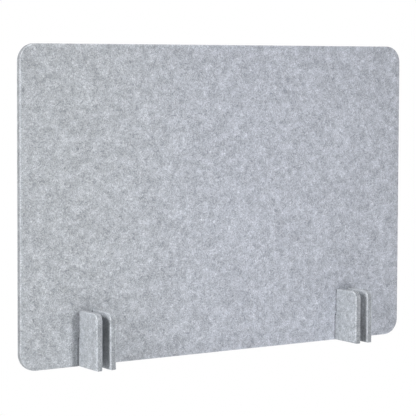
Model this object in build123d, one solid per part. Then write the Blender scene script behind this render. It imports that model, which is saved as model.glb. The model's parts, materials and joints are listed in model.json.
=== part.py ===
from build123d import *
import os

# Desk screen of pressed felt board: an upright panel that stands in two slotted feet.
# Each foot is a pair of upright plates of the same board, crossing the panel's bottom edge.
# Millimetres. X runs along the panel, the front is towards -Y, Z is up.
# The origin is in the middle of the panel's bottom edge, on the desk.

# Board
board_thickness = 9.0
rim_radius = 2.0            # the knife leaves a soft, rounded rim along every cut edge

# Panel
panel_width = 600.0
panel_height = 406.0
panel_corner_radius = 22.0

# Feet
foot_end_distance = 96.5    # from the panel's end to the middle of the foot's two plates
foot_gap = 10.5             # free space between the two plates of a foot
plate_reach = 45.0          # how far a plate stands out from each face of the panel
plate_height = 71.0
plate_top_radius = 9.0

# Halving slots: the panel's open downwards, the plates' open upwards
panel_slot_share = 0.5      # of the plate's height, the rest is the plate's own slot
slot_side_clearance = 0.15  # on each side of the board in its slot
slot_end_clearance = 0.3    # between the two slots' blind ends
slot_overrun = 5.0          # the cutting shape runs past the edge it opens

# Worked out from the sizes above
slot_width = board_thickness + 2 * slot_side_clearance
panel_slot_height = plate_height * panel_slot_share
plate_slot_floor = panel_slot_height - slot_end_clearance
plate_length = board_thickness + 2 * plate_reach
foot_centre = panel_width / 2 - foot_end_distance
plate_offset = (foot_gap + board_thickness) / 2

# Middle of each plate along the panel
plate_places = {
    "left_foot_outer_plate": -foot_centre - plate_offset,
    "left_foot_inner_plate": -foot_centre + plate_offset,
    "right_foot_inner_plate": foot_centre - plate_offset,
    "right_foot_outer_plate": foot_centre + plate_offset,
}


def soften_rims(board, across):
    """Rounds the rims of both faces of a flat board, where across is the board's thin direction."""
    faces = board.faces().filter_by(across)
    return fillet([edge for face in faces for edge in face.edges()], rim_radius)


def slot(width_along_x, width_along_y, low, high):
    """An upright block between two heights, that cuts a slot on the panel's middle plane."""
    size_up = high - low
    return Pos(0, 0, low + size_up / 2) * Box(width_along_x, width_along_y, size_up)


def make_panel():
    outline = RectangleRounded(panel_width, panel_height, panel_corner_radius)
    standing = Plane.XZ * Pos(0, panel_height / 2) * outline
    panel = soften_rims(extrude(standing, board_thickness / 2, both=True), Axis.Y)
    plate_slot = slot(slot_width, board_thickness + slot_overrun, -slot_overrun, panel_slot_height)
    for place in plate_places.values():
        panel -= Pos(place, 0, 0) * plate_slot
    return panel


def make_plate(place):
    outline = Rectangle(plate_length, plate_height)
    outline = fillet(outline.vertices().sort_by(Axis.Y)[2:], plate_top_radius)
    standing = Plane.YZ * Pos(0, plate_height / 2) * outline
    plate = soften_rims(extrude(standing, board_thickness / 2, both=True), Axis.X)
    plate -= slot(board_thickness + slot_overrun, slot_width, plate_slot_floor, plate_height + slot_overrun)
    return Pos(place, 0, 0) * plate


def main():
    os.makedirs("parts", exist_ok=True)
    pieces = {"panel": make_panel()}
    for name, place in plate_places.items():
        pieces[name] = make_plate(place)
    for name, piece in pieces.items():
        piece.label = name
        export_step(piece, f"parts/{name}.step")


main()
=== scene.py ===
import json
import math

import bpy
import numpy as np
from mathutils import Matrix, Vector, geometry, kdtree, noise


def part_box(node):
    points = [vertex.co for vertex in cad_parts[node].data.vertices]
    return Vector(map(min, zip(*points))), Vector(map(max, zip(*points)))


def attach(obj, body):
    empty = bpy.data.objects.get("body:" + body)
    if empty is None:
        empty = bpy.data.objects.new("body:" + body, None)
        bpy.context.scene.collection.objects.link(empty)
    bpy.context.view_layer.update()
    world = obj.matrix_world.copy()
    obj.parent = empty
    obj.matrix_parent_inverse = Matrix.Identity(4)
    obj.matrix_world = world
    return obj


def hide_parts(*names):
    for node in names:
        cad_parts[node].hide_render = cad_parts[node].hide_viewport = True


# Desk screen of pressed grey felt: a panel that stands in two feet, each a pair of slotted plates.
# Metres, in the frame's own axes: X along the panel, the front towards -Y, Z up.

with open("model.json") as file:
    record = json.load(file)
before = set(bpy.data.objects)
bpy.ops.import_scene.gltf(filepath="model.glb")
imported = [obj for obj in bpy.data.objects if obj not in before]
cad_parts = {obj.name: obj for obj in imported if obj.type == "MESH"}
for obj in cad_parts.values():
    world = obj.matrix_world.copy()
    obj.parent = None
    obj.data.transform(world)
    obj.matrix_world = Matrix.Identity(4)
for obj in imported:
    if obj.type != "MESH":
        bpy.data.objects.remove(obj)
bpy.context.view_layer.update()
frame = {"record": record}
mm = 0.001
print("frame loaded")

# Camera at the photograph's place: it stands left of the screen and looks along it to the right

cameraSettings = {
    "place": (-1.30445, -1.93945, 0.38456),
    "yaw": 33.502,        # degrees to the right of straight across the panel
    "pitch": 3.350,       # degrees down
    "roll": -0.209,
    "lens": 153.27,
    "sensor": 36.0,
    "shiftY": -0.1034,
}


def placeCamera(settings):
    yaw, pitch, roll = (math.radians(settings[key]) for key in ("yaw", "pitch", "roll"))
    forward = Vector((math.sin(yaw) * math.cos(pitch), math.cos(yaw) * math.cos(pitch), -math.sin(pitch)))
    level = Vector((math.cos(yaw), -math.sin(yaw), 0))
    down = forward.cross(level)
    right = math.cos(roll) * level + math.sin(roll) * down
    up = math.sin(roll) * level - math.cos(roll) * down
    data = bpy.data.cameras.new("photoCamera")
    data.lens, data.sensor_width, data.shift_y = settings["lens"], settings["sensor"], settings["shiftY"]
    turned = Matrix((right, up, -forward)).transposed().to_4x4()
    holder = bpy.data.objects.new("photoCamera", data)
    holder.matrix_world = Matrix.Translation(settings["place"]) @ turned
    bpy.context.collection.objects.link(holder)
    bpy.context.scene.camera = holder


placeCamera(cameraSettings)
print("camera placed")

# Shader building: sums of wires become Math nodes, and add() makes any other node


class Wire:   # a socket that can be added, taken away and multiplied
    def __init__(self, paint, socket):
        self.paint, self.socket = paint, socket

    def __add__(self, other):
        return self.paint.maths("ADD", self, other)

    def __sub__(self, other):
        return self.paint.maths("SUBTRACT", self, other)

    def __rsub__(self, other):
        return self.paint.maths("SUBTRACT", other, self)

    def __mul__(self, other):
        return self.paint.maths("MULTIPLY", self, other)

    __radd__ = __add__
    __rmul__ = __mul__


class Paint:
    def __init__(self, name):
        self.material = bpy.data.materials.new(name)
        self.material.use_nodes = True
        self.tree = self.material.node_tree
        self.tree.nodes.clear()

    def add(self, kind, settings=None, sockets=None, out=0):
        node = self.tree.nodes.new(kind)
        for key, value in (settings or {}).items():
            setattr(node, key, value)
        for key, value in (sockets or {}).items():
            socket = self.find(node.inputs, key)
            if isinstance(value, Wire):
                self.tree.links.new(value.socket, socket)
            else:
                socket.default_value = value
        return Wire(self, self.find(node.outputs, out)) if len(node.outputs) else node

    def find(self, sockets, key):
        if isinstance(key, int):
            return sockets[key]
        exact = [socket for socket in sockets if socket.identifier == key]
        return exact[0] if exact else sockets[key]

    def maths(self, operation, *terms):
        return self.add("ShaderNodeMath", {"operation": operation}, dict(enumerate(terms)))

    def blend(self, share, first, second):
        return self.add("ShaderNodeMix", {"data_type": "RGBA"},
                        {"Factor_Float": share, "A_Color": first, "B_Color": second}, "Result_Color")

    def vectors(self, operation, first, second):
        sockets = {0: first, 1: second}
        return self.add("ShaderNodeVectorMath", {"operation": operation}, sockets, "Vector")

    def scaled(self, vector, factor):
        sockets = {0: vector, "Scale": factor}
        return self.add("ShaderNodeVectorMath", {"operation": "SCALE"}, sockets, "Vector")

    def ramp(self, value, low, high):
        # rises smoothly from 0 at low to 1 at high
        return self.add("ShaderNodeMapRange", {"interpolation_type": "SMOOTHSTEP"},
                        {"Value": value, "From Min": low, "From Max": high}, "Result")

    def cloud(self, place, size, detail=0.0, roughness=0.5, out=0):
        return self.add("ShaderNodeTexNoise", {"noise_dimensions": "3D"},
                        {"Vector": place, "Scale": 1 / size, "Detail": detail, "Roughness": roughness}, out)

    def stored(self, name):
        return self.add("ShaderNodeAttribute", {"attribute_name": name}, out="Fac")

    def finish(self, shader):
        self.add("ShaderNodeOutputMaterial", {}, {"Surface": shader})
        return self.material


# Heathered felt: strands of several greys lie every way in the board's plane, pressed flat

feltSettings = {
    "faceColor": (0.420, 0.441, 0.476, 1),
    "darkColor": (0.172, 0.186, 0.208, 1),
    "paleColor": (0.69, 0.71, 0.735, 1),
    "strandLength": 7.0,   # mm
    "strandWidth": 0.9,
    "strandWays": 5,       # directions that the strands are laid in
    "strandBend": 8.8,     # mm of room that a strand wanders about in
    "bendSize": 9.0,       # mm between its bends
    "firstTurn": 0.35,     # of the angle between two ways
    "paleField": (0.58, 0.72),   # noise levels between which a strand comes up
    "darkField": (0.42, 0.28),
    "strandShare": 0.5,    # how far a strand's grey replaces the ground's
    "grainSize": 1.6,      # mm
    "grainNoise": (2.0, 0.7),    # finer layers of the noise, and how strong each is beside the last
    "grainDepth": 0.8,
    "mottleSize": 9.0,     # mm
    "mottleNoise": (2.0, 0.55),
    "mottleDepth": 0.7,
    "cutShade": 0.78,      # the cut faces are darker, because their open ends swallow light
    "cutEdge": (-0.8, -1.6),     # mm past the rim's crest
    "paintedRimHighlight": 1.09,      # painted highlight: the rim beside them is painted paler, for the light that catches the rounded edge
    "paintedRimHighlightEdge": (0.8, -0.4),      # mm
    "edgeWander": 0.8,     # mm that these edges wander with the grain
    "relief": 0.25,        # mm
    "grainHeight": 0.6,    # share of the relief
    "strandHeight": 0.25,
    "bumpStrength": 0.4,
    "roughness": 0.95,
    "strandGloss": 0.1,    # off the roughness, on the pale strands
    "specular": 0.2,
    "sheen": 0.15,
    "sheenRoughness": 0.6,
}

# Painted light tint: the panel's grey is painted warmer at its left end and cooler towards its right, for
# warmer light from the left and cooler light from the right; the feet take one even tint of their own
tintsAndPaintedLightCast = {
    "panel": ((1.005, 1, 0.984, 1), (1.005, 1, 1.026, 1)),
    "foot": ((1, 1, 0.99, 1), (1, 1, 0.99, 1)),
    "turn": (-260, 60),    # mm along the panel
}


def mixFelt(name, thinAxis, tintAndLightCast, settings):
    paint = Paint(name)
    place = paint.add("ShaderNodeTexCoord", out="Object")
    place = paint.scaled(place, 1 / mm)
    middle = 0.5   # of the noise
    drift = paint.cloud(place, settings["bendSize"], detail=1.0, out="Color")
    drift = paint.vectors("SUBTRACT", drift, (middle, middle, middle))
    bent = paint.vectors("ADD", place, paint.scaled(drift, settings["strandBend"]))
    axis = [float(i == thinAxis) for i in range(3)]
    lengthwise = 1 if thinAxis == 0 else 0

    # the strands of each way lie in a noise that is drawn out along them
    pale, dark = 0.0, 0.0
    for way in range(settings["strandWays"]):
        angle = math.pi * (way + settings["firstTurn"]) / settings["strandWays"]
        turned = paint.add("ShaderNodeVectorRotate", {"rotation_type": "AXIS_ANGLE"},
                           {"Vector": bent, "Axis": axis, "Angle": angle})
        squeeze = [1 / settings["strandWidth"]] * 3
        squeeze[lengthwise] = 1 / settings["strandLength"]
        apart = (17.0 * way, 5.0 * way, 11.0 * way)   # so that no two ways share their noise
        laid = paint.vectors("ADD", paint.vectors("MULTIPLY", turned, squeeze), apart)
        field = paint.cloud(laid, 1.0, detail=1.0)    # its unit is now one strand
        pale = paint.maths("MAXIMUM", pale, paint.ramp(field, *settings["paleField"]))
        dark = paint.maths("MAXIMUM", dark, paint.ramp(field, *settings["darkField"]))

    grain = paint.cloud(place, settings["grainSize"], *settings["grainNoise"])
    mottle = paint.cloud(place, settings["mottleSize"], *settings["mottleNoise"])
    color = paint.blend(settings["strandShare"] * pale, settings["faceColor"], settings["paleColor"])
    color = paint.blend(settings["strandShare"] * dark, color, settings["darkColor"])
    shade = 1 + settings["grainDepth"] * (grain - middle) + settings["mottleDepth"] * (mottle - middle)

    way = paint.stored("rimWay") + settings["edgeWander"] * (grain - middle)
    outer, inner = settings["cutEdge"]
    cut = paint.ramp(way, outer, inner)
    # painted highlight: rim is a band along each rim's crest that is painted paler, for light caught by the
    # rounded edge; cut is the cut faces' own darker tone
    rim = paint.ramp(way, inner, outer) * paint.ramp(way, *settings["paintedRimHighlightEdge"])
    shade = shade * (1 - (1 - settings["cutShade"]) * cut) * (1 + (settings["paintedRimHighlight"] - 1) * rim)

    height = settings["grainHeight"] * grain
    height = height + settings["strandHeight"] * pale - settings["strandHeight"] * dark
    relief = {"Strength": settings["bumpStrength"], "Distance": settings["relief"] * mm, "Height": height}
    bump = paint.add("ShaderNodeBump", {}, relief)
    # painted light tint: the colour is shifted warmer to the left and cooler to the right along X
    sideways = paint.add("ShaderNodeSeparateXYZ", {}, {"Vector": place}, "X")
    paintedLightCast = paint.blend(paint.ramp(sideways, *tintsAndPaintedLightCast["turn"]), *tintAndLightCast)
    shader = paint.add("ShaderNodeBsdfPrincipled", {}, {
        "Base Color": paint.vectors("MULTIPLY", paint.scaled(color, shade), paintedLightCast),
        "Roughness": settings["roughness"] - settings["strandGloss"] * pale,
        "Specular IOR Level": settings["specular"],
        "Sheen Weight": settings["sheen"],
        "Sheen Roughness": settings["sheenRoughness"],
        "Normal": bump,
    })
    return paint.finish(shader)


panelFelt = mixFelt("panelFelt", 1, tintsAndPaintedLightCast["panel"], feltSettings)
footFelt = mixFelt("footFelt", 0, tintsAndPaintedLightCast["foot"], feltSettings)
print("felt mixed")

# Felt boards: an outline in the board's own plane, two pressed faces and soft rims along every cut edge

boardSettings = {
    "rimRadius": 2.0 * mm,
    "step": 3.2 * mm,          # spacing of the mesh points, wider than the rim and its band together
    "rimBand": 0.7 * mm,       # a first row of points on the face, inside the rim
    "rimSteps": 5,
    "cutSteps": 6,
    "sharpAngle": 50,          # degrees: steeper corners are left as sharp as the knife leaves them
    "puckerHeight": 0.05 * mm, # unevenness of the pressed faces
    "puckerSize": 7.0 * mm,
}


def traceOutline(corners, step, fewestParts=5):
    # corners run anticlockwise as (u, v, radius), and each is a right angle
    arcs = []
    for index, (u, v, radius) in enumerate(corners):
        corner = Vector((u, v))
        back = (Vector(corners[index - 1][:2]) - corner).normalized() * radius
        onward = (Vector(corners[(index + 1) % len(corners)][:2]) - corner).normalized() * radius
        parts = max(fewestParts, math.ceil(radius * math.pi / 2 / step)) if radius else 0
        turns = [math.pi / 2 * part / parts for part in range(parts + 1)] if radius else [0]
        arcs.append([corner + back * (1 - math.sin(turn)) + onward * (1 - math.cos(turn))
                     for turn in turns])
    points = []
    for index, arc in enumerate(arcs):
        end = arcs[(index + 1) % len(arcs)][0]
        parts = max(1, math.floor((end - arc[-1]).length / step))
        points += arc + [arc[-1].lerp(end, part / parts) for part in range(1, parts)]
    return np.array([tuple(point) for point in points])


def outwardOf(points):
    # at each outline point, the way out of the board, long enough to keep corners sharp when it is inset
    along = np.roll(points, -1, axis=0) - points
    along /= np.linalg.norm(along, axis=1)[:, None]
    after = np.stack([along[:, 1], -along[:, 0]], axis=1)
    before = np.roll(after, 1, axis=0)
    return (before + after) / (1 + (before * after).sum(axis=1))[:, None]


def fillFace(ring, step):
    # triangles inside a ring of points, on a staggered grid, and each point's distance from the ring
    low, high = ring.min(axis=0), ring.max(axis=0)
    rowStep = step * math.sqrt(3) / 2
    clearOfRing = 0.6 * step
    weldDistance = 0.01 * mm
    near = kdtree.KDTree(len(ring))
    for index, (u, v) in enumerate(ring):
        near.insert((u, v, 0), index)
    near.balance()
    points = [Vector(point) for point in ring]
    for row in range(1, int((high[1] - low[1]) / rowStep) + 1):
        for column in range(int((high[0] - low[0]) / step) + 1):
            u, v = low[0] + (column + 0.5 * (row % 2)) * step, low[1] + row * rowStep
            if near.find((u, v, 0))[2] > clearOfRing:
                points.append(Vector((u, v)))
    loop = [list(range(len(ring)))]
    places, _, triangles, sources, _, _ = geometry.delaunay_2d_cdt(points, [], loop, 1, weldDistance)
    used = {corner for triangle in triangles for corner in triangle}
    order = sorted(used, key=lambda k: min(sources[k]))
    renamed = {old: new for new, old in enumerate(order)}
    inside = [places[k] for k in order[len(ring):]]
    distances = [near.find((u, v, 0))[2] for u, v in inside]
    triangles = [[renamed[k] for k in triangle] for triangle in triangles]
    return np.array(inside), np.array(distances), triangles


def buildBoard(name, corners, thickness, toSpace, settings, seed):
    radius, halfFlat = settings["rimRadius"], thickness / 2 - settings["rimRadius"]
    outline = traceOutline(corners, settings["step"])
    outward = outwardOf(outline)
    band = settings["rimBand"]
    quarter = radius * math.pi / 4

    # rows across the edge: inset from the outline, depth from the board's middle, lean of the surface,
    # and way along the surface from the rim's crest, which is positive on the face
    rows = [(radius + band, thickness / 2, 0.0, quarter + band)]
    for part in range(settings["rimSteps"] + 1):
        turn = math.pi / 2 * part / settings["rimSteps"]
        inset, depth = radius * (1 - math.sin(turn)), halfFlat + radius * math.cos(turn)
        rows.append((inset, depth, turn, quarter - radius * turn))
    for part in range(1, settings["cutSteps"] // 2 + 1):
        down = 2 * halfFlat * part / settings["cutSteps"]
        rows.append((0.0, halfFlat - down, math.pi / 2, -quarter - down))
    rows += [(inset, -depth, math.pi - lean, way) for inset, depth, lean, way in reversed(rows[:-1])]
    count = len(outline)
    inside, distances, triangles = fillFace(outline - outward * rows[0][0], settings["step"])

    points, normals, ways = [], [], []
    for inset, depth, lean, way in rows:
        flat = outline - outward * inset
        sideways = outward / np.linalg.norm(outward, axis=1)[:, None] * math.sin(lean)
        points.append(np.column_stack([flat, np.full(count, depth)]))
        normals.append(np.column_stack([sideways, np.full(count, math.cos(lean))]))
        ways.append(np.full(count, way))
    for side in (1, -1):
        points.append(np.column_stack([inside, np.full(len(inside), side * thickness / 2)]))
        normals.append(np.tile((0.0, 0.0, float(side)), (len(inside), 1)))
        ways.append(rows[0][3] + distances)
    points, normals, ways = np.vstack(points), np.vstack(normals), np.concatenate(ways)

    # the pressed faces are not quite even
    shift = Vector((seed, 2.3 * seed, 0))   # each board takes its own patch of the noise
    lift = [noise.noise(Vector(point) / settings["puckerSize"] + shift) for point in points]
    points = points + normals * (settings["puckerHeight"] * np.array(lift))[:, None]

    last = len(rows) - 1
    front = list(range(count)) + [len(rows) * count + k for k in range(len(inside))]
    rear = [last * count + k for k in range(count)] + [front[-1] + 1 + k for k in range(len(inside))]
    polygons = [[front[k] for k in triangle] for triangle in triangles]
    polygons += [[rear[k] for k in reversed(triangle)] for triangle in triangles]
    for row in range(last):
        for k in range(count):
            onward = (k + 1) % count
            here, below = row * count, (row + 1) * count
            polygons.append([here + k, below + k, below + onward, here + onward])

    mesh = bpy.data.meshes.new(name)
    mesh.from_pydata([toSpace(point) for point in points], [], polygons)
    mesh.polygons.foreach_set("use_smooth", [True] * len(polygons))
    mesh.set_sharp_from_angle(angle=math.radians(settings["sharpAngle"]))
    mesh.attributes.new("rimWay", "FLOAT", "POINT").data.foreach_set("value", ways / mm)
    mesh.validate()
    board = bpy.data.objects.new(name, mesh)
    bpy.context.collection.objects.link(board)
    return board


bodyOf = {node: body for body, nodes in frame["record"]["behaviour"]["bodies"].items() for node in nodes}


def seatBoard(board, node, felt):
    board.data.materials.append(felt)
    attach(board, bodyOf[node])
    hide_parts(node)


# The panel, with a slot up from its bottom edge for each plate

panelSettings = {
    "cornerRadius": 22 * mm,
    "slotPlay": 0.15 * mm,     # beside each plate
    "slotShare": 0.5,          # of the plate's height
    "seed": 1.7,               # of its unevenness
}

plateNames = [
    "left_foot_outer_plate",
    "left_foot_inner_plate",
    "right_foot_inner_plate",
    "right_foot_outer_plate",
]


def makePanel(settings):
    low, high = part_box("panel")
    radius, play = settings["cornerRadius"], settings["slotPlay"]
    corners = [(low.x, low.z, radius)]
    for name in plateNames:
        start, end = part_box(name)
        top = start.z + (end.z - start.z) * settings["slotShare"]
        left, right = start.x - play, end.x + play
        corners += [(left, low.z, 0), (left, top, 0), (right, top, 0), (right, low.z, 0)]
    corners += [(high.x, low.z, radius), (high.x, high.z, radius), (low.x, high.z, radius)]
    thickness, middle = high.y - low.y, (low.y + high.y) / 2
    panel = buildBoard("felt_panel", corners, thickness, lambda p: (p[0], middle - p[2], p[1]),
                       boardSettings, settings["seed"])
    seatBoard(panel, "panel", panelFelt)


makePanel(panelSettings)
print("panel made")

# The plates of the feet, with a slot down from the top edge for the panel

plateSettings = {
    "topRadius": 9 * mm,
    "slotPlay": 0.15 * mm,
    "slotShare": 0.5,
    "slotGap": 0.3 * mm,       # between the blind ends of the two slots
    "firstSeed": 11.3,         # of the plates' unevenness
    "seedStep": 4.1,
}


def makePlate(node, settings, seed):
    low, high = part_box(node)
    panelLow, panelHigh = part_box("panel")
    radius, play = settings["topRadius"], settings["slotPlay"]
    floor = low.z + (high.z - low.z) * settings["slotShare"] - settings["slotGap"]
    front, rear = panelLow.y - play, panelHigh.y + play
    corners = [
        (low.y, low.z, 0), (high.y, low.z, 0), (high.y, high.z, radius), (rear, high.z, 0),
        (rear, floor, 0), (front, floor, 0), (front, high.z, 0), (low.y, high.z, radius),
    ]
    thickness, middle = high.x - low.x, (low.x + high.x) / 2
    plate = buildBoard("felt_" + node, corners, thickness, lambda p: (middle + p[2], p[0], p[1]),
                       boardSettings, seed)
    seatBoard(plate, node, footFelt)


for number, node in enumerate(plateNames):
    makePlate(node, plateSettings, plateSettings["firstSeed"] + plateSettings["seedStep"] * number)
print("feet made")

# Pale floor and soft light

stageSettings = {
    "floorSize": 12.0,
    "floorColor": (0.3, 0.3, 0.3, 1),
    "floorRoughness": 0.9,
    "floorSpecular": 0.1,
    "floorGlow": 0.67,         # the paper is lit from below too
    "skyColor": (1, 1, 1, 1),
    "gamma": 0.85,             # deepens the dark tones, as the photograph's print does
    "lightTarget": (0, 0, 0.15),    # all the softboxes face this point of the panel
}

softboxes = [
    # name, place, size, watts
    ("keyLight", (0.04, -1.2, 0.25), 0.15, 7.7),
    ("frontFill", (0, -1.793, 0.307), 0.6, 3.2),
    ("leftLight", (-1.666, -0.294, 0.766), 0.5, 20.0),
    ("rightLight", (1.75, 0.1, 0.45), 0.4, 8.0),
    ("topLight", (-0.35, 0, 2.4), 0.35, 32.0),
    ("backLight", (0.45, 1.7, 0.7), 0.6, 30.0),
]


def makeStage(settings):
    half = settings["floorSize"] / 2
    mesh = bpy.data.meshes.new("floor")
    corners = [(-half, -half, 0), (half, -half, 0), (half, half, 0), (-half, half, 0)]
    mesh.from_pydata(corners, [], [(0, 1, 2, 3)])
    floor = bpy.data.objects.new("floor", mesh)
    bpy.context.collection.objects.link(floor)
    paint = Paint("floorPaper")
    paper = paint.add("ShaderNodeBsdfPrincipled", {}, {
        "Base Color": settings["floorColor"], "Roughness": settings["floorRoughness"],
        "Specular IOR Level": settings["floorSpecular"],
        "Emission Color": settings["skyColor"], "Emission Strength": settings["floorGlow"],
    })
    mesh.materials.append(paint.finish(paper))
    floor.visible_camera = False   # it lights the felt, and the picture shows plain white in its place
    floor.visible_shadow = False   # a plate that is pulled down past it keeps its light
    world = bpy.data.worlds.new("studio")
    bpy.context.scene.world = world
    world.use_nodes = True
    world.node_tree.nodes["Background"].inputs["Color"].default_value = settings["skyColor"]
    # white to the eye, while the softboxes and the floor alone give the light
    world.cycles_visibility.diffuse = world.cycles_visibility.glossy = False
    bpy.context.scene.view_settings.view_transform = "Standard"
    bpy.context.scene.view_settings.gamma = settings["gamma"]


def hangSoftbox(name, place, size, watts):
    data = bpy.data.lights.new(name, "AREA")
    data.shape, data.size, data.energy = "SQUARE", size, watts
    light = bpy.data.objects.new(name, data)
    light.location = place
    aim = Vector(stageSettings["lightTarget"]) - Vector(place)
    light.rotation_euler = aim.to_track_quat("-Z", "Y").to_euler()
    bpy.context.collection.objects.link(light)


makeStage(stageSettings)
for softbox in softboxes:
    hangSoftbox(*softbox)
print("stage lit")
